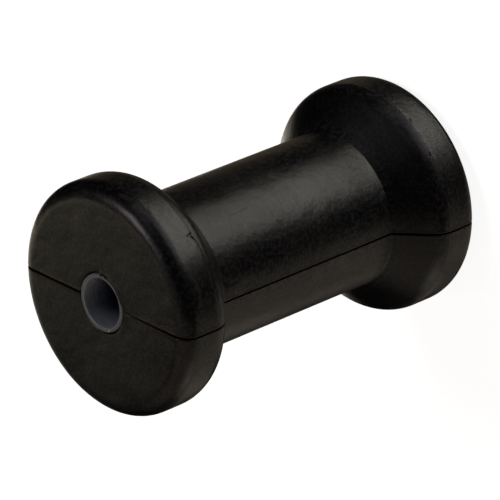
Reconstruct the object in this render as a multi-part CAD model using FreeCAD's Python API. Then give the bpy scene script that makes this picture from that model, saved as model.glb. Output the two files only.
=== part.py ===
import FreeCAD, Part
import math
import os

# Boat trailer roller: a moulded rubber spool with a plain tube sleeve through its bore.
# Millimetres. The origin is the middle of the bore, the bore's axis is Z,
# and the mould that shaped the rubber parted on the plane Y = 0.

# The spool's outline
roller_length = 127.0
flange_diameter = 76.2
barrel_diameter = 51.8
flange_width = 15.9          # from an end face to the rim's inner corner, before it is rounded
cone_width = 11.0            # from that corner to the barrel, along the axis
outer_edge_radius = 5.5      # between an end face and the rim
inner_edge_radius = 8.0      # between the rim and the cone
foot_radius = 0.8            # in the corner between the cone and the barrel

# The parting line, a fine V groove
parting_mouth = 0.55         # width at the surface
parting_depth = 0.35

# The shaft's way through
shaft_diameter = 15.875
shaft_clearance = 0.2        # on the radius
sleeve_diameter = 19.05      # the sleeve is cut from a standard tube
sleeve_bevel = 0.4           # on the outer edges of the sleeve's ends, which the rubber laps

# The upper mouth, where the lap has come away from the sleeve along part of its edge
crevice_width = 0.8          # at the end face, across the V that this leaves
crevice_start = 93.0         # from this angle round the bore
crevice_end = 335.0          # to this one

half_length = roller_length / 2
flange_radius = flange_diameter / 2
barrel_radius = barrel_diameter / 2
sleeve_bore_radius = shaft_diameter / 2 + shaft_clearance
sleeve_radius = sleeve_diameter / 2

origin = FreeCAD.Vector(0, 0, 0)
along_bore = FreeCAD.Vector(0, 0, 1)
across_parting = FreeCAD.Vector(0, 1, 0)
same_place = 1e-6


def outline_corners():
    """The upper outline's sharp corners (x, z, radius of the rounding), from the barrel to the end face."""
    rim_corner = half_length - flange_width
    return [
        (barrel_radius, rim_corner - cone_width, foot_radius),
        (flange_radius, rim_corner, inner_edge_radius),
        (flange_radius, half_length, outer_edge_radius),
    ]


def rounding(corner, before, after, radius):
    """The arc that rounds a corner: a conic held by its tangents, weighted so that it is a circle's."""
    back = (before - corner).normalize()
    ahead = (after - corner).normalize()
    half_angle = back.getAngle(ahead) / 2
    reach = radius / math.tan(half_angle)
    arc = Part.BezierCurve()
    arc.setPoles([corner + back * reach, corner, corner + ahead * reach])
    arc.setWeight(2, math.sin(half_angle))
    return arc.toShape()


def upper_section():
    """The area between the axis and the rounded outline, from the middle up."""
    end_middle = FreeCAD.Vector(0, 0, half_length)
    reached = FreeCAD.Vector(barrel_radius, 0, 0)
    corners = outline_corners()
    points = [reached] + [FreeCAD.Vector(x, 0, z) for x, z, radius in corners] + [end_middle]
    edges = [Part.makeLine(origin, reached)]
    for index, (x, z, radius) in enumerate(corners):
        arc = rounding(points[index + 1], points[index], points[index + 2], radius)
        edges += [Part.makeLine(reached, arc.Vertexes[0].Point), arc]
        reached = arc.Vertexes[-1].Point
    edges += [Part.makeLine(reached, end_middle), Part.makeLine(end_middle, origin)]
    return Part.Face(Part.Wire(edges))


def on_outline(edge):
    """Whether an edge of the parting face lies on the spool's outside, not on the axis or at the middle."""
    at_axis = all(abs(vertex.X) < same_place for vertex in edge.Vertexes)
    at_middle = all(abs(vertex.Z) < same_place for vertex in edge.Vertexes)
    return not (at_axis or at_middle)


def mould_quarter():
    """The upper half of what one mould half gives, bevelled along the parting plane."""
    quarter = upper_section().revolve(origin, along_bore, 180)
    parting_edges = []
    for face in quarter.Faces:
        if all(abs(vertex.Y) < same_place for vertex in face.Vertexes):
            parting_edges += [edge for edge in face.Edges if on_outline(edge)]
    return quarter.makeChamfer(parting_mouth / 2, parting_depth, parting_edges)


def spool():
    """The quarter mirrored to the lower end, then across the parting plane, where the bevels make a V groove."""
    quarter = mould_quarter()
    half = quarter.fuse(quarter.mirror(origin, along_bore)).removeSplitter()
    return half.fuse(half.mirror(origin, across_parting)).removeSplitter()


def sleeve_blank():
    """The sleeve as a bar with bevelled ends, before it is bored."""
    bar = Part.makeCylinder(sleeve_radius, roller_length, FreeCAD.Vector(0, 0, -half_length))
    rims = [edge for edge in bar.Edges if edge.Closed]
    return bar.makeChamfer(sleeve_bevel, rims)


def bore_sleeve():
    """The tube that lines the bore from one end face to the other."""
    bore = Part.makeCylinder(sleeve_bore_radius, roller_length, FreeCAD.Vector(0, 0, -half_length))
    return sleeve_blank().cut(bore)


def crevice():
    """What is gone from the lap round the upper mouth: a V between the sleeve's bevel and the rubber."""
    lap_edge = FreeCAD.Vector(sleeve_radius - sleeve_bevel, 0, half_length)
    bevel_foot = FreeCAD.Vector(sleeve_radius, 0, half_length - sleeve_bevel)
    rubber_edge = lap_edge + FreeCAD.Vector(crevice_width, 0, 0)
    section = Part.Face(Part.makePolygon([lap_edge, bevel_foot, rubber_edge, lap_edge]))
    ring = section.revolve(origin, along_bore, crevice_end - crevice_start)
    return ring.rotate(origin, along_bore, crevice_start)


def roller_body():
    """The rubber: the spool less the sleeve that it was moulded round, and less the crevice."""
    return spool().cut([sleeve_blank(), crevice()]).removeSplitter()


def write(name, shape):
    solids = shape.Solids
    solid = solids[0] if len(solids) == 1 else shape
    print(name, "valid", solid.isValid(), "solids", len(solids), "volume", round(solid.Volume, 1))
    solid.exportStep(os.path.join("parts", name + ".step"))


os.makedirs("parts", exist_ok=True)
write("roller_body", roller_body())
write("bore_sleeve", bore_sleeve())
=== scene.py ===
# %% [markdown]
# # A boat trailer roller
#
# A boat's keel rides on rollers like this one while it is winched onto its trailer. The roller is
# one spool of black rubber, moulded round a length of grey pipe, and it turns on a shaft that goes
# through the pipe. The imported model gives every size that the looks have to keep. Lengths are in
# metres, the bore's axis is Z, the origin is the middle of the bore, and the roller stands on its end.

# %% The frame
import bpy
import bmesh
import math
from mathutils import Matrix, Vector


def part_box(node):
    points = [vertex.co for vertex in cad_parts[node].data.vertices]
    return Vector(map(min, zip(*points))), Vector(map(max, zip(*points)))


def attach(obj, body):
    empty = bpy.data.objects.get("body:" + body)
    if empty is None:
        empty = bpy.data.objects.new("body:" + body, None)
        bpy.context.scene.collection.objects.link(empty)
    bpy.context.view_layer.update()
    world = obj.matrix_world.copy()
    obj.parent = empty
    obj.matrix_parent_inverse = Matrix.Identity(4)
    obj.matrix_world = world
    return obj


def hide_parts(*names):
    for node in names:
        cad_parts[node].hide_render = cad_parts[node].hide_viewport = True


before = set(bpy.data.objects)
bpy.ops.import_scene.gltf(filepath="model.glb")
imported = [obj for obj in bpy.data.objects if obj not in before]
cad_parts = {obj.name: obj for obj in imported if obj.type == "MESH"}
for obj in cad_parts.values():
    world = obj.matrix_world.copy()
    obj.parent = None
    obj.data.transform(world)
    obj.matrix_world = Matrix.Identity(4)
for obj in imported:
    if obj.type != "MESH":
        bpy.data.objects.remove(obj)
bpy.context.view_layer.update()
mm = 0.001
print("nodes in the frame:", sorted(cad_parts))

# %% [markdown]
# ## The view
#
# The photograph is taken with a long lens, so the two flanges look almost the same size. The roller
# lies on its side there and stands on its end here, so the camera is rolled about its own axis until
# the picture is the right way up. Three turns place it: round the roller, up from the floor, and roll.

# %% Camera
camera_azimuth = math.radians(32.944)
camera_elevation = math.radians(38.615)
camera_roll = math.radians(-112.019)
camera_distance = 1.3658
camera_aim = Vector((0.21, -2.16, 1.25)) * mm
sensor_width = 36.0
lens_length = 311.9

turn_round = Matrix.Rotation(camera_azimuth + math.pi / 2, 4, "Z")
turn_up = Matrix.Rotation(math.pi / 2 - camera_elevation, 4, "X")
camera_turn = turn_round @ turn_up @ Matrix.Rotation(camera_roll, 4, "Z")
camera_data = bpy.data.cameras.new("camera")
camera_data.sensor_width = sensor_width
camera_data.lens = lens_length
camera = bpy.data.objects.new("camera", camera_data)
step_back = Matrix.Translation((0, 0, camera_distance))
camera.matrix_world = Matrix.Translation(camera_aim) @ camera_turn @ step_back
bpy.context.scene.collection.objects.link(camera)
bpy.context.scene.camera = camera
print("camera at", [round(value, 3) for value in camera.matrix_world.translation])

# %% [markdown]
# ## Sizes
#
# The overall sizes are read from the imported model's nodes. The rest are the moulding's own: the
# spool has a plain barrel between two flanges, whose inner sides slope, and every corner is rounded.

# %% Sizes of the two pieces
body_low, body_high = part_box("roller_body")
sleeve_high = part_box("bore_sleeve")[1]
half_length = body_high.z
flange_radius = body_high.y
sleeve_radius = sleeve_high.x
sleeve_bore_radius = 8.1375 * mm
sleeve_bevel = 0.4 * mm
barrel_radius = 25.9 * mm
flange_width = 15.9 * mm
cone_width = 11.0 * mm
print(f"spool {2 * half_length / mm:.1f} long and {2 * flange_radius / mm:.1f} across, in mm")

# %% [markdown]
# ## Wiring nodes
#
# Both the shapes and the finishes are built from nodes. Three small helpers keep that readable: one
# feeds a socket with a number or with another node's output, one adds a node, and one does sums.

# %% Node helpers
def feed(tree, socket, value):
    """Gives a socket a plain value, or links another node's output to it."""
    if isinstance(value, bpy.types.NodeSocket):
        tree.links.new(value, socket)
    else:
        socket.default_value = value


def add_node(tree, kind, settings=None, **values):
    """Adds a node, sets its properties, and feeds the inputs that are named."""
    node = tree.nodes.new(kind)
    for name, setting in (settings or {}).items():
        setattr(node, name, setting)
    for name, value in values.items():
        feed(tree, node.inputs[name.replace("_", " ")], value)
    return node


def sums(tree, operation, *values):
    """One Math node, whose inputs are numbers or other nodes' outputs."""
    node = tree.nodes.new("ShaderNodeMath")
    node.operation = operation
    for socket, value in zip(node.inputs, values):
        feed(tree, socket, value)
    return node.outputs[0]


def smooth_step(tree, value, start, end, low=0.0, high=1.0):
    """Goes from low to high, with soft ends, as value goes from start to end."""
    node = add_node(tree, "ShaderNodeMapRange", {"interpolation_type": "SMOOTHSTEP"})
    numbers = {"Value": value, "From Min": start, "From Max": end, "To Min": low, "To Max": high}
    for name, number in numbers.items():
        feed(tree, node.inputs[name], number)
    return node.outputs["Result"]


print("helpers ready")

# %% [markdown]
# ## The rubber spool
#
# The real spool comes out of a two-part mould: half of it lies in each part, and a fine V groove
# shows all round where they met. It could be turned with the Screw modifier, but the groove has
# to keep its width on the barrel and on the wide flanges alike, so its columns of points can't be
# spaced by angle. Geometry Nodes suit that. First the outline: a closed line of 10 named corners,
# with Fillet Curve rounding each one by its own radius.

# %% Inputs of the spool's tree
spool_sizes = {
    "Half Length": half_length,
    "Flange Radius": flange_radius,
    "Flange Width": flange_width,
    "Cone Width": cone_width,
    "Barrel Radius": barrel_radius,
    "Outer Edge Radius": 5.5 * mm,
    "Inner Edge Radius": 8.0 * mm,
    "Foot Radius": 0.8 * mm,
    "Sleeve Radius": sleeve_radius,
    "Sleeve Bevel": sleeve_bevel,
    "Mouth Rounding": 0.8 * mm,
    "Mouth Depth": 1.0 * mm,
    "Crevice Gap": 0.2 * mm,
    "Crevice Start": math.radians(95),
    "Crevice End": math.radians(335),
    "Crevice Fade": math.radians(22),
    "Lap Raggedness": 0.12 * mm,
    "Lap Start": math.radians(2),
    "Lap End": math.radians(97),
    "Lap Reach": 0.47 * mm,
    "Lap Lift": 0.42 * mm,
    "Tear Angle": math.radians(84),
    "Tear Half Angle": math.radians(12),
    "Tear Depth": 0.1 * mm,
    "Groove Half Width": 0.52 * mm,
    "Groove Depth": 0.85 * mm,
    "Groove Unevenness": 0.85,
    "Lip Rise": 0.03 * mm,
    "Strip Half Width": 0.8 * mm,
    "Row Spacing": 1.1 * mm,
}
spool_counts = {"Rounding Steps": 11, "Strip Columns": 10, "Side Columns": 148, "Seed": 3}


def tree_with_inputs(name, sizes, counts, materials):
    """A new Geometry Nodes tree with named inputs, and the outputs of its Group Input node by name."""
    tree = bpy.data.node_groups.new(name, "GeometryNodeTree")
    tree.interface.new_socket(name="Geometry", in_out="OUTPUT", socket_type="NodeSocketGeometry")
    kinds = {"NodeSocketFloat": sizes, "NodeSocketInt": counts, "NodeSocketMaterial": materials}
    for kind, labels in kinds.items():
        for label in labels:
            tree.interface.new_socket(name=label, in_out="INPUT", socket_type=kind)
    return tree, tree.nodes.new("NodeGroupInput").outputs


spool_tree, given = tree_with_inputs("spool moulding", spool_sizes, spool_counts, ["Rubber"])
print("inputs of the spool:", len(spool_sizes) + len(spool_counts))

# %% The outline's corners
def listed(tree, index, kind, values):
    """Picks one of several values by a point's index."""
    node = add_node(tree, "GeometryNodeIndexSwitch", {"data_type": kind})
    while len(node.index_switch_items) < len(values):
        node.index_switch_items.new()
    feed(tree, node.inputs["Index"], index)
    for socket, value in zip(list(node.inputs)[1:], values):
        feed(tree, socket, value)
    return node.outputs[0]


def stored_value(tree, label):
    """A number that was stored on the points under that name."""
    kind = {"data_type": "FLOAT"}
    return add_node(tree, "GeometryNodeInputNamedAttribute", kind, Name=label).outputs[0]


def spool_outline(tree, given):
    """The closed outline, with each point's share in the mouth's rounding and in the groove stored on it.

    A corner is its radius, its height, its rounding, its share in the mouth and its share in the groove.
    """
    top = given["Half Length"]
    rim = sums(tree, "SUBTRACT", top, given["Flange Width"])
    foot = sums(tree, "SUBTRACT", rim, given["Cone Width"])
    mouth_foot = sums(tree, "SUBTRACT", top, given["Mouth Depth"])
    bevel_foot = sums(tree, "SUBTRACT", top, given["Sleeve Bevel"])
    below = {height: sums(tree, "MULTIPLY", height, -1.0) for height in (top, rim, foot, bevel_foot)}
    flange = [
        (given["Flange Radius"], top, given["Outer Edge Radius"], 0.0, 1.0),
        (given["Flange Radius"], rim, given["Inner Edge Radius"], 0.0, 1.0),
        (given["Barrel Radius"], foot, given["Foot Radius"], 0.0, 1.0),
    ]
    upper = [(given["Sleeve Radius"], top, given["Mouth Rounding"], 1.0, 1.0)] + flange
    lower = [(radius, below[height], rounding, 0.0, 1.0)
             for radius, height, rounding, _, _ in reversed(flange)]
    lap_edge = sums(tree, "SUBTRACT", given["Sleeve Radius"], given["Sleeve Bevel"])
    bore = [
        (lap_edge, below[top], 0.0, 0.0, 1.0),
        (given["Sleeve Radius"], below[bevel_foot], 0.0, 0.0, 0.0),
        (given["Sleeve Radius"], mouth_foot, 0.0, 0.0, 0.0),
    ]
    radii, heights, roundings, mouth_shares, groove_shares = zip(*(upper + lower + bore))
    index = add_node(tree, "GeometryNodeInputIndex").outputs[0]
    points = add_node(tree, "GeometryNodeMeshLine", Count=len(radii))
    line = add_node(tree, "GeometryNodeMeshToCurve", Mesh=points.outputs[0]).outputs[0]
    place = add_node(tree, "ShaderNodeCombineXYZ", X=listed(tree, index, "FLOAT", radii),
                     Z=listed(tree, index, "FLOAT", heights)).outputs[0]
    line = add_node(tree, "GeometryNodeSetPosition", Geometry=line, Position=place).outputs[0]
    line = add_node(tree, "GeometryNodeSetSplineCyclic", Geometry=line, Cyclic=True).outputs[0]
    kept = {"rounding": roundings, "mouth_share": mouth_shares, "groove_share": groove_shares}
    for label, shares in kept.items():
        store = add_node(tree, "GeometryNodeStoreNamedAttribute", {"data_type": "FLOAT", "domain": "POINT"},
                         Geometry=line, Name=label, Value=listed(tree, index, "FLOAT", shares))
        line = store.outputs[0]
    rounded = add_node(tree, "GeometryNodeFilletCurve", {"mode": "POLY"}, Curve=line,
                       Count=given["Rounding Steps"], Radius=stored_value(tree, "rounding"))
    return rounded.outputs[0]


outline = spool_outline(spool_tree, given)
print("outline wired")

# %% [markdown]
# Long straight stretches get extra rows, so that the groove can wander in depth along the barrel.
# The pipe's wall needs none, because it is hidden.

# %% Rows along the outline
def sampled(tree, curve, kind, value, index):
    """A value of the outline's point with that index, where the index runs round the closed line."""
    size = add_node(tree, "GeometryNodeAttributeDomainSize", {"component": "CURVE"}, Geometry=curve)
    wrapped = sums(tree, "FLOORED_MODULO", index, size.outputs["Point Count"])
    node = add_node(tree, "GeometryNodeSampleIndex", {"data_type": kind, "domain": "POINT"},
                    Geometry=curve, Value=value, Index=wrapped)
    return node.outputs[0]


def add_rows(tree, curve, spacing, hidden_radius):
    """Divides each straight stretch of the outline so that its points lie no further apart than spacing."""
    index = add_node(tree, "GeometryNodeInputIndex").outputs[0]
    here = add_node(tree, "GeometryNodeInputPosition").outputs[0]
    following = sampled(tree, curve, "FLOAT_VECTOR", here, sums(tree, "ADD", index, 1.0))
    stretch = add_node(tree, "ShaderNodeVectorMath", {"operation": "DISTANCE"})
    feed(tree, stretch.inputs[0], here)
    feed(tree, stretch.inputs[1], following)
    cuts = sums(tree, "FLOOR", sums(tree, "DIVIDE", stretch.outputs["Value"], spacing))
    radius = add_node(tree, "ShaderNodeSeparateXYZ", Vector=here).outputs["X"]
    off_wall = sums(tree, "ABSOLUTE", sums(tree, "SUBTRACT", radius, hidden_radius))
    shown = sums(tree, "GREATER_THAN", off_wall, 0.01 * mm)
    divided = add_node(tree, "GeometryNodeSubdivideCurve", Curve=curve,
                       Cuts=sums(tree, "MULTIPLY", cuts, shown))
    return divided.outputs[0]


outline = add_rows(spool_tree, outline, given["Row Spacing"], given["Sleeve Radius"])
print("rows wired")

# %% [markdown]
# The surface is a grid: one row for each outline point, and columns right round the axis. Beside the
# parting plane the columns keep a fixed distance from it, and between those two strips they are spaced
# evenly by angle. A column's angle therefore depends on the radius: asin(offset / radius).

# %% Columns round the axis
def column_angle(tree, given, column, radius):
    """The angle of a column at that radius. Each half turn has a strip, an even stretch and a strip."""
    strip, side = given["Strip Columns"], given["Side Columns"]
    half_turn = sums(tree, "ADD", sums(tree, "MULTIPLY", strip, 2.0), side)
    turns = sums(tree, "FLOOR", sums(tree, "DIVIDE", column, half_turn))
    place = sums(tree, "SUBTRACT", column, sums(tree, "MULTIPLY", turns, half_turn))

    def strip_angle(share):
        offset = sums(tree, "MULTIPLY", given["Strip Half Width"], share)
        return sums(tree, "ARCSINE", sums(tree, "DIVIDE", offset, radius))

    def share(value):
        return add_node(tree, "ShaderNodeClamp", Value=value).outputs[0]

    near = share(sums(tree, "DIVIDE", place, strip))
    far = share(sums(tree, "DIVIDE", sums(tree, "SUBTRACT", half_turn, place), strip))
    middle = share(sums(tree, "DIVIDE", sums(tree, "SUBTRACT", place, strip), side))
    edge = strip_angle(1.0)
    open_angle = sums(tree, "SUBTRACT", math.pi, sums(tree, "MULTIPLY", edge, 2.0))
    angle = sums(tree, "ADD", strip_angle(near), sums(tree, "MULTIPLY", middle, open_angle))
    angle = sums(tree, "ADD", angle, sums(tree, "SUBTRACT", edge, strip_angle(far)))
    return sums(tree, "ADD", angle, sums(tree, "MULTIPLY", turns, math.pi))


def turned_grid(tree, given, curve):
    """A flat grid with a row for each point of the curve, and the row and column of each grid point."""
    size = add_node(tree, "GeometryNodeAttributeDomainSize", {"component": "CURVE"}, Geometry=curve)
    rows = sums(tree, "ADD", size.outputs["Point Count"], 1.0)
    half_turn = sums(tree, "ADD", sums(tree, "MULTIPLY", given["Strip Columns"], 2.0), given["Side Columns"])
    columns = sums(tree, "ADD", sums(tree, "MULTIPLY", half_turn, 2.0), 1.0)
    grid = add_node(tree, "GeometryNodeMeshGrid", Vertices_X=rows, Vertices_Y=columns).outputs["Mesh"]
    index = add_node(tree, "GeometryNodeInputIndex").outputs[0]
    row = sums(tree, "FLOOR", sums(tree, "DIVIDE", sums(tree, "ADD", index, 0.5), columns))
    column = sums(tree, "SUBTRACT", index, sums(tree, "MULTIPLY", row, columns))
    return grid, row, column


grid, row, column = turned_grid(spool_tree, given, outline)
print("grid wired")

# %% [markdown]
# Round the lower mouth the rubber laps the bevel of the sleeve's end. Round the upper one it meets the
# sleeve's wall, but along most of the way it has come away: its edge is round there and leaves a
# crevice. Where it still holds, it laps the outer half of the sleeve's end, and it is torn where the
# lap stops and the crevice starts.

# %% The upper mouth
def noise_at(tree, place, scale, detail, seed):
    """Noise between -1 and 1 at a place, with a fixed seed."""
    shifted = add_node(tree, "ShaderNodeVectorMath", {"operation": "ADD"})
    feed(tree, shifted.inputs[0], place)
    feed(tree, shifted.inputs[1], add_node(tree, "ShaderNodeCombineXYZ", X=seed).outputs[0])
    node = add_node(tree, "ShaderNodeTexNoise", Vector=shifted.outputs[0], Scale=scale, Detail=detail)
    return sums(tree, "MULTIPLY_ADD", node.outputs[0], 2.0, -1.0)


def round_axis(tree, radius, angle, height):
    """A point from its radius, angle and height."""
    x = sums(tree, "MULTIPLY", radius, sums(tree, "COSINE", angle))
    y = sums(tree, "MULTIPLY", radius, sums(tree, "SINE", angle))
    return add_node(tree, "ShaderNodeCombineXYZ", X=x, Y=y, Z=height).outputs[0]


def lap_share(tree, given, angle):
    """1 where the rubber laps the sleeve's end. It thickens slowly and stops at once."""
    lap_fade, lap_break = math.radians(18), math.radians(3)
    thick = smooth_step(tree, angle, given["Lap Start"], sums(tree, "ADD", given["Lap Start"], lap_fade))
    broken = sums(tree, "SUBTRACT", given["Lap End"], lap_break)
    return sums(tree, "MULTIPLY", thick, smooth_step(tree, angle, broken, given["Lap End"], 1.0, 0.0))


def tear_share(tree, given, angle):
    """1 in the middle of the tear, and 0 outside it."""
    off = sums(tree, "ABSOLUTE", sums(tree, "SUBTRACT", angle, given["Tear Angle"]))
    return smooth_step(tree, off, 0.0, given["Tear Half Angle"], 1.0, 0.0)


def crevice_share(tree, given, angle):
    """1 where the lap has come away. It opens at once at the tear and closes slowly at its other end."""
    opened = sums(tree, "GREATER_THAN", angle, given["Crevice Start"])
    fade_start = sums(tree, "SUBTRACT", given["Crevice End"], given["Crevice Fade"])
    closing = smooth_step(tree, angle, fade_start, given["Crevice End"], 1.0, 0.0)
    return sums(tree, "MULTIPLY", opened, closing)


def mouth_change(tree, given, angle, share, height):
    """How far a point of the mouth's rounding moves in radius and in height, at its share of the way in."""
    opened = crevice_share(tree, given, angle)
    lapped = lap_share(tree, given, angle)
    wiggle_scale, wiggle_detail = 5.0, 3.0
    circle = round_axis(tree, 1.0, angle, 0.0)
    wiggle = noise_at(tree, circle, wiggle_scale, wiggle_detail, given["Seed"])
    ragged = sums(tree, "MULTIPLY", wiggle, given["Lap Raggedness"])
    gap = sums(tree, "MULTIPLY", opened, sums(tree, "ADD", ragged, given["Crevice Gap"]))
    lap_reach = sums(tree, "MULTIPLY", lapped, sums(tree, "SUBTRACT", given["Lap Reach"], ragged))
    outward = sums(tree, "SUBTRACT", gap, lap_reach)
    filled = sums(tree, "MULTIPLY", sums(tree, "SUBTRACT", given["Half Length"], height),
                  sums(tree, "SUBTRACT", 1.0, opened))
    hollow = sums(tree, "SINE", sums(tree, "MULTIPLY", share, math.pi))
    torn = sums(tree, "MULTIPLY", tear_share(tree, given, angle), given["Tear Depth"])
    torn = sums(tree, "MULTIPLY", torn, hollow)
    raised = sums(tree, "MULTIPLY", sums(tree, "MULTIPLY", lapped, given["Lap Lift"]), share)
    filled = sums(tree, "MULTIPLY", filled, sums(tree, "GREATER_THAN", share, 0.0))
    upward = sums(tree, "ADD", filled, sums(tree, "SUBTRACT", raised, torn))
    return sums(tree, "MULTIPLY", outward, share), upward


def named(tree, curve, label, row):
    """A stored share of the outline's point in that row."""
    return sampled(tree, curve, "FLOAT", stored_value(tree, label), row)


here = add_node(spool_tree, "GeometryNodeInputPosition").outputs[0]
outline_point = sampled(spool_tree, outline, "FLOAT_VECTOR", here, row)
outline_parts = add_node(spool_tree, "ShaderNodeSeparateXYZ", Vector=outline_point).outputs
plain_angle = column_angle(spool_tree, given, column, outline_parts["X"])
on_mouth = named(spool_tree, outline, "mouth_share", row)
mouth_edge = sums(spool_tree, "ADD", given["Sleeve Radius"], given["Mouth Rounding"])
way_in = sums(spool_tree, "SUBTRACT", mouth_edge, outline_parts["X"])
way_in = sums(spool_tree, "DIVIDE", way_in, given["Mouth Rounding"])
way_in = sums(spool_tree, "MULTIPLY", sums(spool_tree, "MAXIMUM", way_in, 0.0), on_mouth)
outward, upward = mouth_change(spool_tree, given, plain_angle, way_in, outline_parts["Z"])
point_radius = sums(spool_tree, "ADD", outline_parts["X"], outward)
point_angle = column_angle(spool_tree, given, column, point_radius)
point_height = sums(spool_tree, "ADD", outline_parts["Z"], upward)
in_tear = sums(spool_tree, "MULTIPLY", tear_share(spool_tree, given, point_angle), way_in)
in_crevice = sums(spool_tree, "MULTIPLY", crevice_share(spool_tree, given, point_angle), way_in)
print("mouth wired")

# %% [markdown]
# The parting groove is a V with soft lips that the mould's edges have raised a little. It is cut along
# the outline's own normal, so it keeps its depth round every corner. Its depth wanders, as a mould's
# edges are never quite closed, and by the mouth it fades on one side.

# %% The groove and the finished surface
def groove_depth(tree, given, place, reach):
    """Depth of the groove at a point of the surface, and its share of the full depth."""
    side = sums(tree, "ABSOLUTE", add_node(tree, "ShaderNodeSeparateXYZ", Vector=place).outputs["Y"])
    half_width = given["Groove Half Width"]
    across = smooth_step(tree, side, 0.0, half_width, 1.0, 0.0)
    wander_scale, wander_detail = 260.0, 3.0
    wander = noise_at(tree, place, wander_scale, wander_detail, given["Seed"])
    uneven = sums(tree, "MULTIPLY_ADD", wander, given["Groove Unevenness"], 1.0)
    depth_share = sums(tree, "MULTIPLY", uneven, reach)
    share = sums(tree, "MULTIPLY", across, add_node(tree, "ShaderNodeClamp", Value=depth_share).outputs[0])
    lip_at, lip_sharpness = 1.3, 9.0
    from_lip = sums(tree, "SUBTRACT", side, sums(tree, "MULTIPLY", half_width, lip_at))
    from_lip = sums(tree, "POWER", sums(tree, "DIVIDE", from_lip, half_width), 2.0)
    lip = sums(tree, "EXPONENT", sums(tree, "MULTIPLY", from_lip, -lip_sharpness))
    raised = sums(tree, "MULTIPLY", sums(tree, "MULTIPLY", lip, given["Lip Rise"]), reach)
    return sums(tree, "SUBTRACT", sums(tree, "MULTIPLY", share, given["Groove Depth"]), raised), share


def groove_reach(tree, curve, row, angle, on_mouth):
    """1 where the groove runs, 0 inside the bore, and fading towards the mouth on its +X side."""
    runs = named(tree, curve, "groove_share", row)
    plus_x = sums(tree, "GREATER_THAN", sums(tree, "COSINE", angle), 0.0)
    return sums(tree, "MULTIPLY", runs, sums(tree, "SUBTRACT", 1.0, sums(tree, "MULTIPLY", plus_x, on_mouth)))


smooth_place = round_axis(spool_tree, point_radius, point_angle, point_height)
reach = groove_reach(spool_tree, outline, row, point_angle, on_mouth)
depth, depth_share = groove_depth(spool_tree, given, smooth_place, reach)
tangent = add_node(spool_tree, "GeometryNodeInputTangent").outputs[0]
heading = add_node(spool_tree, "ShaderNodeSeparateXYZ",
                   Vector=sampled(spool_tree, outline, "FLOAT_VECTOR", tangent, row)).outputs
cut_radius = sums(spool_tree, "ADD", point_radius, sums(spool_tree, "MULTIPLY", heading["Z"], depth))
cut_height = sums(spool_tree, "SUBTRACT", point_height, sums(spool_tree, "MULTIPLY", heading["X"], depth))
place = round_axis(spool_tree, cut_radius, point_angle, cut_height)
print("groove wired")

# %% Closing the spool
weld = 0.001 * mm


def finish_spool(tree, given, grid, place, shares):
    """Places the grid's points, stores the shares for the material, and welds the seam."""
    for label, share in shares.items():
        grid = add_node(tree, "GeometryNodeStoreNamedAttribute", {"data_type": "FLOAT", "domain": "POINT"},
                        Geometry=grid, Name=label, Value=share).outputs[0]
    surface = add_node(tree, "GeometryNodeSetPosition", Geometry=grid, Position=place).outputs[0]
    surface = add_node(tree, "GeometryNodeMergeByDistance", Geometry=surface, Distance=weld).outputs[0]
    surface = add_node(tree, "GeometryNodeSetShadeSmooth", Geometry=surface).outputs[0]
    surface = add_node(tree, "GeometryNodeRealizeInstances", Geometry=surface).outputs[0]
    surface = add_node(tree, "GeometryNodeSetMaterial", Geometry=surface, Material=given["Rubber"]).outputs[0]
    tree.links.new(surface, tree.nodes.new("NodeGroupOutput").inputs[0])


finish_spool(spool_tree, given, grid, place, {"groove": depth_share, "tear": in_tear, "crevice": in_crevice})


def made_by_tree(name, tree, values):
    """Runs a tree on an empty object and keeps the result as a plain mesh with the same name."""
    holder = bpy.data.objects.new(name + "_holder", bpy.data.meshes.new(name + "_holder"))
    bpy.context.scene.collection.objects.link(holder)
    modifier = holder.modifiers.new(name, "NODES")
    modifier.node_group = tree
    for socket in tree.interface.items_tree:
        if socket.in_out == "INPUT":
            modifier[socket.identifier] = values[socket.name]
    graph = bpy.context.evaluated_depsgraph_get()
    mesh = bpy.data.meshes.new_from_object(holder.evaluated_get(graph), depsgraph=graph)
    bpy.data.objects.remove(holder)
    piece = bpy.data.objects.new(name, mesh)
    bpy.context.scene.collection.objects.link(piece)
    return piece


rubber = bpy.data.materials.new("black rubber")
rubber_spool = made_by_tree("rubber_spool", spool_tree, {**spool_sizes, **spool_counts, "Rubber": rubber})
print("rubber_spool:", len(rubber_spool.data.polygons), "faces")

# %% [markdown]
# ## The pipe sleeve
#
# The sleeve is a cut length of pipe. Its ends were cleaned up after sawing, so their edges are round,
# and light runs round them as a thin ring. A section with four rounded corners, spun round the axis,
# gives exactly that, and it is a closed tube with no caps to hide. Its upper end stands a third of a
# millimetre proud of the rubber, as the photograph shows.

# %% Pipe section and spin
def rounded_section(corners, steps):
    """A closed section's points, from its corners (x, z, rounding)."""
    points = []
    for index, (x, z, rounding) in enumerate(corners):
        here = Vector((x, z))
        before = (Vector(corners[index - 1][:2]) - here).normalized()
        after = (Vector(corners[(index + 1) % len(corners)][:2]) - here).normalized()
        middle = here + (before + after) * rounding
        for step in range(steps + 1):
            turn = step / steps * math.pi / 2
            points.append(middle - after * rounding * math.cos(turn) - before * rounding * math.sin(turn))
    return points


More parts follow.
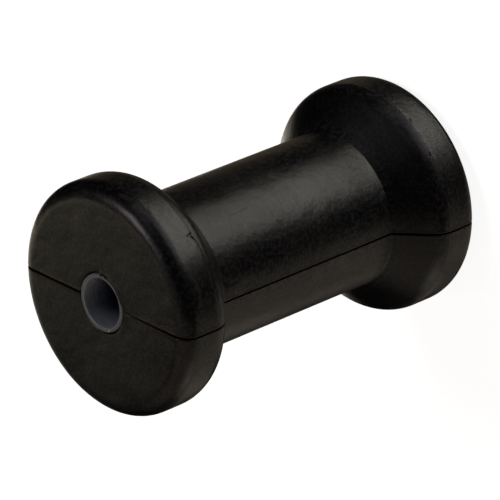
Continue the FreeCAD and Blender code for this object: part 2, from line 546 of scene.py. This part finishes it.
def spun_tube(name, points, steps):
    """A closed section spun right round the Z axis."""
    work = bmesh.new()
    ring = [work.verts.new((point.x, 0, point.y)) for point in points]
    edges = [work.edges.new((vertex, ring[(index + 1) % len(ring)])) for index, vertex in enumerate(ring)]
    bmesh.ops.spin(work, geom=ring + edges, cent=(0, 0, 0), axis=(0, 0, 1), angle=math.tau, steps=steps,
                   use_merge=True)
    bmesh.ops.remove_doubles(work, verts=work.verts, dist=0.1 * weld)
    bmesh.ops.recalc_face_normals(work, faces=work.faces)
    mesh = bpy.data.meshes.new(name)
    work.to_mesh(mesh)
    work.free()
    mesh.polygons.foreach_set("use_smooth", [True] * len(mesh.polygons))
    piece = bpy.data.objects.new(name, mesh)
    bpy.context.scene.collection.objects.link(piece)
    return piece


deburred = 0.1 * mm
rounded_over = 0.4 * mm
sleeve_rise = 0.35 * mm
sleeve_top = half_length + sleeve_rise
sleeve_corners = [
    (sleeve_bore_radius, -half_length, deburred),
    (sleeve_radius, -half_length, sleeve_bevel),
    (sleeve_radius, sleeve_top, sleeve_bevel),
    (sleeve_bore_radius, sleeve_top, rounded_over),
]
corner_steps = 6
spin_steps = 192
pipe_sleeve = spun_tube("pipe_sleeve", rounded_section(sleeve_corners, corner_steps), spin_steps)
print("pipe_sleeve:", len(pipe_sleeve.data.polygons), "faces")

# %% [markdown]
# ## Black rubber
#
# Rubber straight from a mould is almost black, with a satin skin that copies the mould's own texture.
# What the eye sees of it is nearly all gloss, so the colour itself hardly shows. It is blended from two
# blacks by a soft noise, and the same noises serve again below.

# %% Rubber: black skin
def shader_tree(material):
    """Empties a material and gives back its tree and its Principled shader."""
    material.use_nodes = True
    tree = material.node_tree
    tree.nodes.clear()
    shader = tree.nodes.new("ShaderNodeBsdfPrincipled")
    output = tree.nodes.new("ShaderNodeOutputMaterial")
    tree.links.new(shader.outputs[0], output.inputs["Surface"])
    return tree, shader


def noise(tree, place, scale, detail=2.0, roughness=0.5):
    """Noise between 0 and 1 over the piece."""
    node = add_node(tree, "ShaderNodeTexNoise", Vector=place, Scale=scale, Detail=detail, Roughness=roughness)
    return node.outputs["Fac"]


def blended(tree, share, first, second):
    """A colour between two, by share."""
    node = add_node(tree, "ShaderNodeMix", {"data_type": "RGBA"})
    feed(tree, node.inputs["Factor"], share)
    for socket, colour in zip([s for s in node.inputs if s.type == "RGBA"], (first, second)):
        feed(tree, socket, colour if isinstance(colour, bpy.types.NodeSocket) else (*colour, 1.0))
    return next(s for s in node.outputs if s.type == "RGBA")


rubber_tree, rubber_shader = shader_tree(rubber)
rubber_place = rubber_tree.nodes.new("ShaderNodeTexCoord").outputs["Object"]
blue_black = (0.0010, 0.0006, 0.0024)
dusty_black = (0.0050, 0.0048, 0.0054)
blotch_scale, grain_scale = 55.0, 900.0
blotches = noise(rubber_tree, rubber_place, blotch_scale, 3.0)
grain = noise(rubber_tree, rubber_place, grain_scale, 3.0, 0.6)
skin = blended(rubber_tree, smooth_step(rubber_tree, blotches, 0.35, 0.7), blue_black, dusty_black)
from_middle = add_node(rubber_tree, "ShaderNodeSeparateXYZ", Vector=rubber_place).outputs["Z"]
from_middle = sums(rubber_tree, "ABSOLUTE", from_middle)
print("black skin ready")

# %% [markdown]
# Pale dust sits in the pores as fine specks. There is less of it on the rounded edges and the smooth end
# faces. On the cones it is thinned most, which paints them darker as painted shade between the flanges.

# %% Rubber: dust, and painted shade on the cones
speck_grey = (0.0290, 0.0286, 0.0292)
cone_low, cone_high, cone_fade = 37.0 * mm, 48.0 * mm, 3.0 * mm
edge_low, edge_high = 54.0 * mm, 62.0 * mm
cone_painted_shade, end_cleanness = 0.6, 0.28
past_barrel = smooth_step(rubber_tree, from_middle, cone_low, cone_low + cone_fade)
below_rim = smooth_step(rubber_tree, from_middle, cone_high - cone_fade, cone_high, 1.0, 0.0)
on_cone = sums(rubber_tree, "MULTIPLY", past_barrel, below_rim)
near_end = smooth_step(rubber_tree, from_middle, edge_low, edge_high)
# Painted shade: thinning the dust on the cones darkens them.
cleaner_ends_shaded_cones = sums(rubber_tree, "MULTIPLY", on_cone, cone_painted_shade)
cleaner_ends_shaded_cones = sums(rubber_tree, "MULTIPLY_ADD", near_end, end_cleanness, cleaner_ends_shaded_cones)
dusty = smooth_step(rubber_tree, grain, 0.43, 0.65)
dusty = sums(rubber_tree, "MULTIPLY", dusty, sums(rubber_tree, "SUBTRACT", 1.0, cleaner_ends_shaded_cones))
skin = blended(rubber_tree, dusty, skin, speck_grey)
print("dust ready")

# %% [markdown]
# Pores and shallow dents break up the edges of the bright bands. Noise sets their heights, and they are
# strongest on the barrel, where the mould was roughest.

# %% Rubber: pores and dents
def bumped(tree, height, distance, strength=1.0, under=None):
    """A bump of that height, in metres, on top of another bump."""
    node = add_node(tree, "ShaderNodeBump", Height=height, Distance=distance, Strength=strength)
    if under is not None:
        feed(tree, node.inputs["Normal"], under)
    return node.outputs[0]


barrel_zone, flange_zone, end_zone = 25.0 * mm, 50.0 * mm, 62.5 * mm
pore_height, blotch_height, dent_height = 0.07 * mm, 0.8 * mm, 0.14 * mm
dent_scale = 210.0
dents = noise(rubber_tree, rubber_place, dent_scale)
pore_strength = smooth_step(rubber_tree, from_middle, barrel_zone, end_zone, 0.9, 0.5)
dent_strength = smooth_step(rubber_tree, from_middle, barrel_zone, flange_zone, 1.0, 0.3)
rubber_bump = bumped(rubber_tree, grain, pore_height, pore_strength)
rubber_bump = bumped(rubber_tree, blotches, blotch_height, 0.7, rubber_bump)
rubber_bump = bumped(rubber_tree, dents, dent_height, dent_strength, rubber_bump)
print("pores and dents ready")

# %% [markdown]
# Where hands and keels have rubbed the spool, the skin is drawn into fine ripples, mostly along the
# barrel. Noise gives them when its place is squeezed: small steps round the axis, long ones along it.

# %% Rubber: rubbed ripples
def vectors(tree, operation, *values, result="Vector"):
    """One Vector Math node, whose inputs are vectors or other nodes' outputs."""
    node = tree.nodes.new("ShaderNodeVectorMath")
    node.operation = operation
    for socket, value in zip(node.inputs, values):
        feed(tree, socket, value)
    return node.outputs[result]


ripple_lean = (0.35, 0.25, 0.0)
ripple_stretch = (1.0, 1.0, 0.3)
ripple_scale, rubbed_scale = 600.0, 75.0
ripple_height = 0.06 * mm
rippled = add_node(rubber_tree, "ShaderNodeMapping", Vector=rubber_place, Rotation=ripple_lean,
                   Scale=ripple_stretch)
ripples = add_node(rubber_tree, "ShaderNodeTexNoise", Vector=rippled.outputs[0], Scale=ripple_scale,
                   Detail=3.0, Distortion=0.8)
rubbed = smooth_step(rubber_tree, noise(rubber_tree, rubber_place, rubbed_scale), 0.4, 0.65)
rubbed_low, rubbed_high = 30.0 * mm, 40.0 * mm
on_barrel = smooth_step(rubber_tree, from_middle, rubbed_low, rubbed_high, 1.0, 0.15)
rubbed = sums(rubber_tree, "MULTIPLY", rubbed, on_barrel)
rubbed = sums(rubber_tree, "MULTIPLY", ripples.outputs["Fac"], rubbed)
rubber_bump = bumped(rubber_tree, rubbed, ripple_height, 0.9, rubber_bump)
print("ripples ready")

# %% [markdown]
# ## Marks
#
# The spool has been used and carries small marks: a crack in one flange's rim, creases on the barrel,
# scuffs and a chip. Each is a line through a few places on the rubber, given by its angle round the
# axis and its height. A node group measures how far a place lies from one stretch of a line; the
# nearest stretch counts. The place is shaken by noise first, so that no line is ruled.

# %% Rubber: measuring from a line
def line_group():
    """A node group: how far a place lies from a straight stretch between two others."""
    group = bpy.data.node_groups.new("distance from a line", "ShaderNodeTree")
    for label in ("Place", "Start", "Along"):
        group.interface.new_socket(name=label, in_out="INPUT", socket_type="NodeSocketVector")
    group.interface.new_socket(name="Distance", in_out="OUTPUT", socket_type="NodeSocketFloat")
    inside = group.nodes.new("NodeGroupInput").outputs
    offset = vectors(group, "SUBTRACT", inside["Place"], inside["Start"])
    reached = vectors(group, "DOT_PRODUCT", offset, inside["Along"], result="Value")
    length = vectors(group, "DOT_PRODUCT", inside["Along"], inside["Along"], result="Value")
    share = add_node(group, "ShaderNodeClamp", Value=sums(group, "DIVIDE", reached, length)).outputs[0]
    nearest = add_node(group, "ShaderNodeVectorMath", {"operation": "SCALE"}, Vector=inside["Along"],
                       Scale=share)
    distance = vectors(group, "DISTANCE", offset, nearest.outputs["Vector"], result="Value")
    group.links.new(distance, group.nodes.new("NodeGroupOutput").inputs[0])
    return group


measure = line_group()
shake_width = 0.8 * mm
shake_scale, uneven_scale = 700.0, 1300.0
shaken = add_node(rubber_tree, "ShaderNodeTexNoise", Vector=rubber_place, Scale=shake_scale, Detail=2.0)
shake = vectors(rubber_tree, "SUBTRACT", shaken.outputs["Color"], (0.5, 0.5, 0.5))
mark_place = vectors(rubber_tree, "MULTIPLY_ADD", shake, (shake_width,) * 3, rubber_place)
uneven = sums(rubber_tree, "MULTIPLY_ADD", noise(rubber_tree, rubber_place, uneven_scale), 1.4, 0.4)


def place_at(radius, degrees, height):
    """A place from its radius and height in millimetres and its angle round the axis in degrees."""
    turn = math.radians(degrees)
    return Vector((radius * math.cos(turn), radius * math.sin(turn), height)) * mm


def marked(radius, half_width, *stops):
    """A line's mark: 1 on the line and 0 away from it. Each stop is (degrees, height)."""
    places = [place_at(radius, degrees, height) for degrees, height in stops]
    nearest = 1.0
    for start, end in zip(places, places[1:]):
        node = rubber_tree.nodes.new("ShaderNodeGroup")
        node.node_tree = measure
        for label, value in (("Place", mark_place), ("Start", start), ("Along", end - start)):
            feed(rubber_tree, node.inputs[label], value)
        nearest = sums(rubber_tree, "MINIMUM", nearest, node.outputs[0])
    thinned = sums(rubber_tree, "MULTIPLY", nearest, uneven)
    core, faint = half_width * 0.4, half_width * 1.6
    return smooth_step(rubber_tree, thinned, core, faint, 1.0, 0.0)


def strongest(shares):
    """The largest of several (mark, strength) pairs."""
    total = 0.0
    for share, strength in shares:
        total = sums(rubber_tree, "MAXIMUM", total, sums(rubber_tree, "MULTIPLY", share, strength))
    return total


print("marks can be drawn")

# %% Rubber: cracks and creases
half_height = half_length / mm
rim = flange_radius / mm
barrel = barrel_radius / mm
mouth_ring = 13.3
end_crack = 16.4
fine, plain, broad = 0.24 * mm, 0.34 * mm, 0.6 * mm
cracks = strongest([
    (marked(rim, fine, (46.6, 52.0), (46.9, 51.0), (47.6, 50.2)), 1.0),
    (marked(rim, plain, (45.8, 50.8), (42.8, 49.8)), 1.0),
    (marked(rim, fine, (42.8, 49.8), (38.1, 49.5), (35.6, 49.8), (32.6, 49.5)), 0.8),
    (marked(rim, fine, (37.2, 50.0), (34.5, 50.3), (31.9, 50.3), (28.3, 49.6)), 0.5),
    (marked(rim, plain, (60.4, -50.8), (58.6, -50.5)), 0.7),
    (marked(rim, plain, (41.0, -50.0), (39.6, -49.8)), 0.8),
    (marked(rim, plain, (28.5, -51.4), (24.5, -50.9), (21.5, -50.2)), 0.7),
    (marked(rim, plain, (-2.5, 59.2), (-5.5, 57.6)), 0.3),
    (marked(barrel, plain, (55.0, 9.3), (49.5, 8.6), (44.5, 8.9), (40.0, 8.0), (35.5, 7.8)), 0.32),
    (marked(barrel, fine, (55.5, 24.6), (56.5, 20.4), (56.5, 16.1)), 0.4),
    (marked(barrel, fine, (37.6, 19.1), (32.5, 16.1)), 0.4),
    (marked(barrel, fine, (64.5, 1.8), (55.0, 3.2), (42.0, 4.4)), 0.35),
    (marked(mouth_ring, fine, *((degrees, half_height) for degrees in (118.0, 107.0, 96.0, 87.0))), 0.35),
    (marked(end_crack, fine, (38.5, half_height), (25.0, half_height)), 0.25),
])
print("cracks ready")

# %% [markdown]
# Scuffs are pale, because rubbing lifts the skin. A faint ridge runs round both rims where a ring of
# the mould ended; its pale tint is a painted highlight. The chip shows the rubber's brown inside.

# %% Rubber: scuffs, ridge and chip
chip_radius = 37.6
scuffs = strongest([
    (marked(rim, broad, (44.7, 58.9), (39.4, 58.5), (33.9, 57.5), (28.7, 56.6), (23.4, 55.8), (18.8, 55.9),
            (14.4, 56.7)), 0.7),
    (marked(barrel, plain, (64.2, 22.6), (62.5, 18.6), (59.6, 13.3), (55.3, 9.6)), 0.8),
    (marked(barrel, broad, (61.0, 11.0), (57.0, 10.0)), 0.6),
    (marked(rim, fine, (57.2, 54.1), (53.2, 53.3)), 0.5),
    (marked(chip_radius, plain, (82.2, 60.2), (77.0, 60.3)), 0.8),
])
ridge_height, ridge_core, ridge_foot = 50.2 * mm, 0.1 * mm, 0.4 * mm
ridge_scale = 90.0
shaken_height = add_node(rubber_tree, "ShaderNodeSeparateXYZ", Vector=mark_place).outputs["Z"]
from_ridge = sums(rubber_tree, "SUBTRACT", sums(rubber_tree, "ABSOLUTE", shaken_height), ridge_height)
from_ridge = sums(rubber_tree, "MULTIPLY", sums(rubber_tree, "ABSOLUTE", from_ridge), uneven)
ridge_and_highlight = smooth_step(rubber_tree, from_ridge, ridge_core, ridge_foot, 1.0, 0.0)
ridge_wear = smooth_step(rubber_tree, noise(rubber_tree, rubber_place, ridge_scale), 0.3, 0.6, 0.25, 1.0)
ridge_and_highlight = sums(rubber_tree, "MULTIPLY", ridge_and_highlight, ridge_wear)
scuffed = (0.055, 0.053, 0.050)
chipped = (0.042, 0.022, 0.015)
crack_black = (0.0008, 0.0006, 0.0008)
skin = blended(rubber_tree, sums(rubber_tree, "MULTIPLY", scuffs, 0.55), skin, scuffed)
# Painted highlight: the ridge's pale tint along both rims.
skin = blended(rubber_tree, sums(rubber_tree, "MULTIPLY", ridge_and_highlight, 0.25), skin, scuffed)
chip = marked(chip_radius, plain, (82.0, 60.3), (79.5, 59.6), (77.0, 59.4))
skin = blended(rubber_tree, chip, skin, chipped)
skin = blended(rubber_tree, cracks, skin, crack_black)
mark_height = 0.05 * mm
ridge_less_cracks = sums(rubber_tree, "SUBTRACT", ridge_and_highlight, cracks)
rubber_bump = bumped(rubber_tree, ridge_less_cracks, mark_height, 0.8, rubber_bump)
print("scuffs ready")

# %% [markdown]
# Deep in the groove, the cracks and the crevice no light comes back as gloss, so their skin turns dull.
# The groove's lips are tinted dark brown and its deeper part is painted black, as painted shade; the
# crevice wall and the torn edge are painted near black, as painted shade.

# %% Rubber: groove, mouth and roughness
def attribute(tree, name):
    """A share stored on the piece's points."""
    node = tree.nodes.new("ShaderNodeAttribute")
    node.attribute_name = name
    return node.outputs["Fac"]


groove_brown = (0.0300, 0.0070, 0.0040)
groove_shade_black = (0.0050, 0.0012, 0.0006)
painted_shade_black = (0.0030, 0.0014, 0.0010)
tear_brown = (0.0500, 0.0160, 0.0080)
in_groove = attribute(rubber_tree, "groove")
# Painted shade: the torn edge of the lap is painted black with brown specks, and the crevice wall near black.
torn_shade = smooth_step(rubber_tree, attribute(rubber_tree, "tear"), 0.12, 0.4)
crevice_shade = smooth_step(rubber_tree, attribute(rubber_tree, "crevice"), 0.25, 0.9)
groove_edge = smooth_step(rubber_tree, in_groove, 0.02, 0.22)
skin = blended(rubber_tree, groove_edge, skin, groove_brown)
# Painted shade: deeper in the groove the skin is painted black.
skin = blended(rubber_tree, smooth_step(rubber_tree, in_groove, 0.35, 0.75), skin, groove_shade_black)
torn_painted_shade = blended(rubber_tree, smooth_step(rubber_tree, grain, 0.52, 0.6), painted_shade_black, tear_brown)
# Painted shade on the crevice wall round the sleeve.
skin = blended(rubber_tree, crevice_shade, skin, painted_shade_black)
# Painted shade on the torn edge, where the lap overhangs.
skin = blended(rubber_tree, torn_shade, skin, torn_painted_shade)
sunken = sums(rubber_tree, "MAXIMUM", groove_edge, sums(rubber_tree, "MAXIMUM", torn_shade, crevice_shade))
sunken = sums(rubber_tree, "MAXIMUM", sunken, cracks)
roughness = smooth_step(rubber_tree, blotches, 0.3, 0.7, 0.32, 0.38)
rubber_roughness = sums(rubber_tree, "MAXIMUM", roughness, sums(rubber_tree, "MULTIPLY", sunken, 0.95))
gloss = smooth_step(rubber_tree, sunken, 0.0, 1.0, 0.5, 0.03)
feed(rubber_tree, rubber_shader.inputs["Base Color"], skin)
feed(rubber_tree, rubber_shader.inputs["Specular IOR Level"], gloss)
feed(rubber_tree, rubber_shader.inputs["Roughness"], rubber_roughness)
feed(rubber_tree, rubber_shader.inputs["Normal"], rubber_bump)
print("rubber finish ready")

# %% [markdown]
# ## Grey pipe
#
# The pipe is dull grey metal. Its bore has gone bluish. One side of it is painted lighter, as painted
# light, and it is painted darker further in, as painted shade.

# %% Pipe: colours of the bore, with painted light and shade
pipe = bpy.data.materials.new("grey pipe")
pipe_tree, pipe_shader = shader_tree(pipe)
pipe_place = pipe_tree.nodes.new("ShaderNodeTexCoord").outputs["Object"]
pipe_blotch_scale = 160.0
pipe_blotches = noise(pipe_tree, pipe_place, pipe_blotch_scale, 4.0)
cut_grey = blended(pipe_tree, pipe_blotches, (0.155, 0.176, 0.192), (0.23, 0.252, 0.272))
bore_blue = blended(pipe_tree, pipe_blotches, (0.30, 0.34, 0.41), (0.44, 0.49, 0.57))
bore_painted_light = blended(pipe_tree, pipe_blotches, (0.55, 0.60, 0.70), (0.73, 0.79, 0.88))
tarnish_and_shade_blue = (0.016, 0.020, 0.066)
# Painted light: one side of the bore is painted lighter.
lit_side_turn = math.radians(150)
lit_side = Vector((math.cos(lit_side_turn), math.sin(lit_side_turn), 0.0)) / sleeve_bore_radius
towards_lit_side = vectors(pipe_tree, "DOT_PRODUCT", pipe_place, lit_side, result="Value")
bore = blended(pipe_tree, smooth_step(pipe_tree, towards_lit_side, -0.6, 1.0), bore_blue, bore_painted_light)
# Painted shade: the bore is painted darker further in.
depth_shade_starts, depth_shade_full = sleeve_top - 1.0 * mm, sleeve_top - 14.0 * mm
pipe_parts = add_node(pipe_tree, "ShaderNodeSeparateXYZ", Vector=pipe_place).outputs
depth_shade = smooth_step(pipe_tree, pipe_parts["Z"], depth_shade_full, depth_shade_starts, 1.0, 0.0)
bore = blended(pipe_tree, depth_shade, bore, tarnish_and_shade_blue)
print("bore's colours ready")

# %% [markdown]
# Its cut end is a plain grey with one painted highlight, a white spot where the edge glints, and fine turning
# marks run round the whole pipe.

# %% Pipe: cut end, turning marks and painted glint
pipe_flat = add_node(pipe_tree, "ShaderNodeCombineXYZ", X=pipe_parts["X"], Y=pipe_parts["Y"]).outputs[0]
pipe_radius = vectors(pipe_tree, "LENGTH", pipe_flat, result="Value")
on_end = smooth_step(pipe_tree, pipe_radius, sleeve_bore_radius, sleeve_bore_radius + rounded_over)
pipe_grey = blended(pipe_tree, on_end, bore, cut_grey)
turning_scale = 3000.0
turning_stretch = (0.06, 0.06, 1.0)
turned_place = vectors(pipe_tree, "MULTIPLY", pipe_place, turning_stretch)
turning = noise(pipe_tree, turned_place, turning_scale, 3.0)
tarnish = smooth_step(pipe_tree, turning, 0.35, 0.65, 0.25, 0.0)
tarnish = sums(pipe_tree, "MULTIPLY", tarnish, sums(pipe_tree, "SUBTRACT", 1.0, on_end))
pipe_grey = blended(pipe_tree, tarnish, pipe_grey, tarnish_and_shade_blue)
# Painted highlight: a white spot where the cut end glints.
glint_white = (0.75, 0.75, 0.76)
glint_core, glint_edge = 0.2 * mm, 0.45 * mm
glint_radius, glint_degrees = 8.95, 291.0
glint_place = place_at(glint_radius, glint_degrees, sleeve_top / mm)
to_burr = vectors(pipe_tree, "DISTANCE", pipe_place, glint_place, result="Value")
on_glint = smooth_step(pipe_tree, to_burr, glint_core, glint_edge, 1.0, 0.0)
pipe_grey = blended(pipe_tree, on_glint, pipe_grey, glint_white)
feed(pipe_tree, pipe_shader.inputs["Base Color"], pipe_grey)
feed(pipe_tree, pipe_shader.inputs["Roughness"], smooth_step(pipe_tree, pipe_blotches, 0.3, 0.7, 0.25, 0.4))
turning_height, pipe_blotch_height = 0.03 * mm, 0.05 * mm
pipe_bump = bumped(pipe_tree, turning, turning_height, 0.5)
feed(pipe_tree, pipe_shader.inputs["Normal"],
     bumped(pipe_tree, pipe_blotches, pipe_blotch_height, 0.3, pipe_bump))
pipe_sleeve.data.materials.append(pipe)
print("pipe finish ready")

# %% [markdown]
# ## Seating the pieces
#
# The roller has no moving parts, so both pieces ride on the one body, and each stands for its node.

# %% Bodies
for piece, node, slot in ((rubber_spool, "roller_body", "rubber"), (pipe_sleeve, "bore_sleeve", "sleeve")):
    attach(piece, "root")
    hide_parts(node)
print("pieces seated")

# %% [markdown]
# ## Studio
#
# The roller stands on a pale floor. The floor and the white world show to the camera but light
# nothing: a white floor would shine into the black rubber from below and wash out its dark bands.

# %% Floor
floor_mesh = bpy.data.meshes.new("floor")
floor_half = 3.0
floor_gap = 0.05 * mm
floor_height = body_low.z - floor_gap
floor_turns = ((-1, -1), (1, -1), (1, 1), (-1, 1))
floor_corners = [(x * floor_half, y * floor_half, floor_height) for x, y in floor_turns]
floor_mesh.from_pydata(floor_corners, [], [(0, 1, 2, 3)])
floor = bpy.data.objects.new("floor", floor_mesh)
bpy.context.scene.collection.objects.link(floor)
floor_paint = bpy.data.materials.new("pale floor")
floor_shader = shader_tree(floor_paint)[1]
floor_shader.inputs["Base Color"].default_value = (0.9, 0.9, 0.9, 1.0)
floor_shader.inputs["Emission Color"].default_value = (1.0, 1.0, 1.0, 1.0)
floor_shader.inputs["Emission Strength"].default_value = 0.9
floor_mesh.materials.append(floor_paint)
floor.visible_glossy = False
floor.visible_diffuse = False
floor.visible_shadow = False

# %% White background
world = bpy.data.worlds.new("studio")
bpy.context.scene.world = world
world.use_nodes = True
background = world.node_tree.nodes["Background"].inputs
background["Color"].default_value = (1.0, 1.0, 1.0, 1.0)
background["Strength"].default_value = 1.0
world.cycles_visibility.diffuse = False
world.cycles_visibility.glossy = False
bpy.context.scene.view_settings.view_transform = "Standard"
print("floor and background ready")

# %% [markdown]
# Glossy black things show their shape by the soft panels that they mirror. Each band of light along
# the barrel and round the rims is one panel here. Its direction is given as the camera sees it: to
# the right, up, and towards the camera. Then come its turn, half its width and height for each metre
# of its distance, and its radiance. Four weak panels light the sides that the camera doesn't see.

# %% Soft panels
panel_distance = 1.5


def softbox(name, toward, turn, half_width, half_height, radiance):
    """A soft panel that shines on the middle of the roller and that the camera doesn't see."""
    out = Vector(toward).normalized()
    across = Vector((0, 1, 0)).cross(out).normalized()
    upright = out.cross(across)
    placed = Matrix((across, upright, out)).transposed() @ Matrix.Rotation(math.radians(turn), 3, "Z")
    data = bpy.data.lights.new(name, "AREA")
    data.shape = "RECTANGLE"
    data.size = 2 * half_width * panel_distance
    data.size_y = 2 * half_height * panel_distance
    data.energy = 4 * max(radiance) * data.size * data.size_y
    data.color = [channel / max(radiance) for channel in radiance]
    light = bpy.data.objects.new(name, data)
    in_studio = camera_turn.to_3x3() @ placed
    light.matrix_world = Matrix.Translation(in_studio.col[2] * panel_distance) @ in_studio.to_4x4()
    light.visible_camera = False
    bpy.context.scene.collection.objects.link(light)
    return light


softbox("key", (0.61, 0.79, 0.09), 63.0, 0.46, 0.05, (4.115, 4.039, 3.510))
softbox("key_spill", (0.53, 0.73, 0.43), -93.5, 0.36, 0.40, (0.556, 0.515, 0.542))
softbox("side_strip", (-0.86, 0.14, 0.49), -3.7, 0.11, 0.19, (4.608, 4.168, 4.026))
softbox("table_front", (-0.23, -0.93, 0.28), -34.6, 1.04, 0.65, (0.170, 0.144, 0.122))
softbox("table_back", (0.68, -0.71, -0.20), -38.6, 0.74, 0.50, (0.221, 0.198, 0.161))
softbox("rim_strip", (-0.84, -0.15, -0.52), -17.8, 1.02, 0.05, (1.010, 0.905, 0.660))
softbox("backdrop", (0.77, -0.16, -0.62), -63.0, 0.29, 0.41, (0.236, 0.209, 0.178))
softbox("key_return", (0.71, 0.64, -0.29), 32.7, 0.21, 0.14, (1.296, 1.225, 1.036))
softbox("low_strip", (0.35, -0.52, -0.78), 5.8, 0.17, 0.08, (0.276, 0.246, 0.203))
softbox("left_fill", (-0.35, 0.62, 0.71), -38.6, 0.25, 0.06, (0.445, 0.460, 0.444))
softbox("far_fill", (-0.02, 0.36, -0.93), -49.8, 0.38, 0.25, (0.112, 0.093, 0.063))
softbox("back_panel", (-0.23, -0.04, -0.97), -110.1, 0.25, 0.25, (0.850, 0.790, 0.700))
softbox("left_panel", (-0.63, -0.20, -0.75), -106.8, 0.14, 0.32, (0.250, 0.250, 0.250))
softbox("right_panel", (0.29, -0.95, -0.11), 160.5, 0.06, 0.32, (0.700, 0.700, 0.700))
softbox("far_panel", (-0.10, 0.91, 0.40), 146.3, 0.05, 0.32, (1.000, 1.000, 1.000))
print("lights placed:", len(bpy.data.lights))
